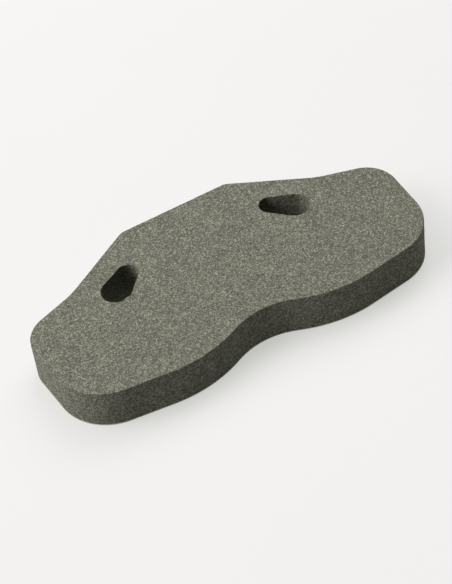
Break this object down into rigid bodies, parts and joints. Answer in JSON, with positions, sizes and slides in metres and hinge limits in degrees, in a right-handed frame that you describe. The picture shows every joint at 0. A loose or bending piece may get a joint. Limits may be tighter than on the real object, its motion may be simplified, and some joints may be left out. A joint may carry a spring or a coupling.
{
  "type": "back pad",
  "caption": "Wing-shaped foam back pad with a waisted lower edge, egg-shaped windows and a self-adhesive back under a split peel-off liner.",
  "frame": {"origin": "under the middle of the pad's box, on the plane that its liner lies on", "axes": "+X across the two lobes, +Y towards the long straight edge, +Z out of the face that meets the rider"},
  "size_m": [0.19, 0.0904, 0.0204],
  "materials": {
    "foam": "matte",
    "adhesive": "satin",
    "liner_paper": "satin"
  },
  "bodies": {
    "pad": {"foam_pad": "foam", "adhesive_film": "adhesive"},
    "left_flap": {"liner_left": "liner_paper"},
    "right_flap": {"liner_right": "liner_paper"}
  },
  "joints": [
    {"name": "peel_left", "type": "hinge", "parent": "pad", "child": "left_flap", "pos_m": [-0.0953, 0, 0.0002], "axis": [0, 1, 0], "range_deg": [0, 200]},
    {"name": "peel_right", "type": "hinge", "parent": "pad", "child": "right_flap", "pos_m": [0.0953, 0, 0.0002], "axis": [0, -1, 0], "range_deg": [0, 200]}
  ]
}
